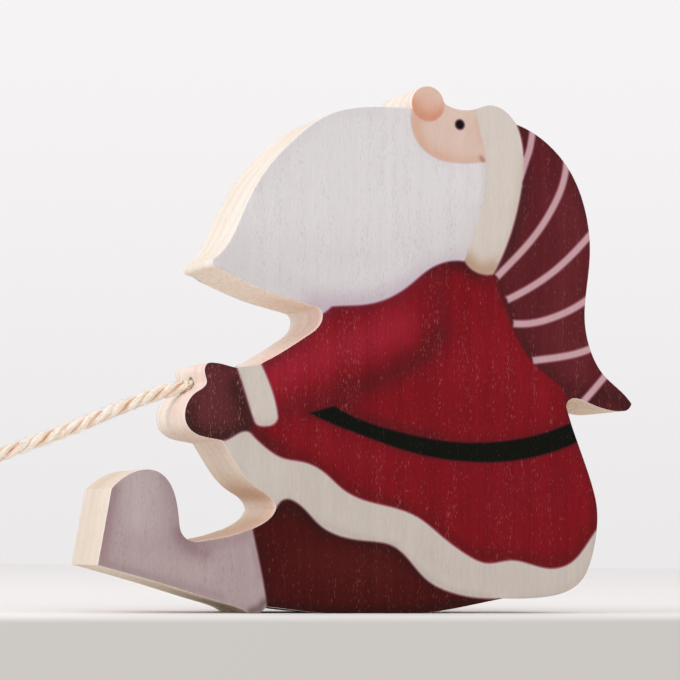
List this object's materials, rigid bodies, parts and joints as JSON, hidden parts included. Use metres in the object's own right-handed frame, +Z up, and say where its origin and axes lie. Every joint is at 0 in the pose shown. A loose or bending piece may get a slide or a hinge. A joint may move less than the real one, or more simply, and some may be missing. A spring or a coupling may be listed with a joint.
{
  "type": "tomte gnome figurine",
  "caption": "Flat sawn wooden tomte, printed in colour on both faces, sitting with one boot raised and pulling a taut fibre rope glued into the edge at its mitten",
  "frame": {"origin": "under the middle of the board's length and thickness, on the surface that the figure stands on; the rope, its knot and its tail don't count", "axes": "+X from the boot to the tip of the hat, +Y from the front face to the back, +Z up"},
  "size_m": [0.1775, 0.0204, 0.12],
  "materials": {
    "bare_wood": "sawn and sanded pale hardwood, unvarnished edge",
    "primer": "thin matt white print primer",
    "nose_ink": "matt printed ink on wood grain",
    "eye_ink": "matt printed ink on wood grain",
    "hat_ink": "matt printed ink on wood grain",
    "stripe_ink": "matt printed ink on wood grain",
    "brim_ink": "matt printed ink on wood grain",
    "face_ink": "matt printed ink on wood grain",
    "beard_ink": "matt printed ink on wood grain",
    "trousers_ink": "matt printed ink on wood grain",
    "boot_ink": "matt printed ink on wood grain",
    "trim_ink": "matt printed ink on wood grain",
    "mitten_ink": "matt printed ink on wood grain",
    "belt_ink": "matt printed ink on wood grain",
    "coat_ink": "matt printed ink on wood grain",
    "rope_fibre": "three-strand natural fibre, matt",
    "glue": "dried white glue"
  },
  "bodies": {
    "root": {"board": "bare_wood", "white_primer": "primer", "nose_print": "nose_ink", "eye_print": "eye_ink", "hat_print": "hat_ink", "hat_stripe_print": "stripe_ink", "hat_brim_print": "brim_ink", "face_print": "face_ink", "beard_print": "beard_ink", "trousers_print": "trousers_ink", "boot_print": "boot_ink", "hem_print": "trim_ink", "cuff_print": "trim_ink", "mitten_print": "mitten_ink", "belt_print": "belt_ink", "coat_print": "coat_ink", "rope": "rope_fibre", "rope_glue": "glue", "rope_knot": "rope_fibre", "rope_tail": "rope_fibre"}
  },
  "joints": []
}
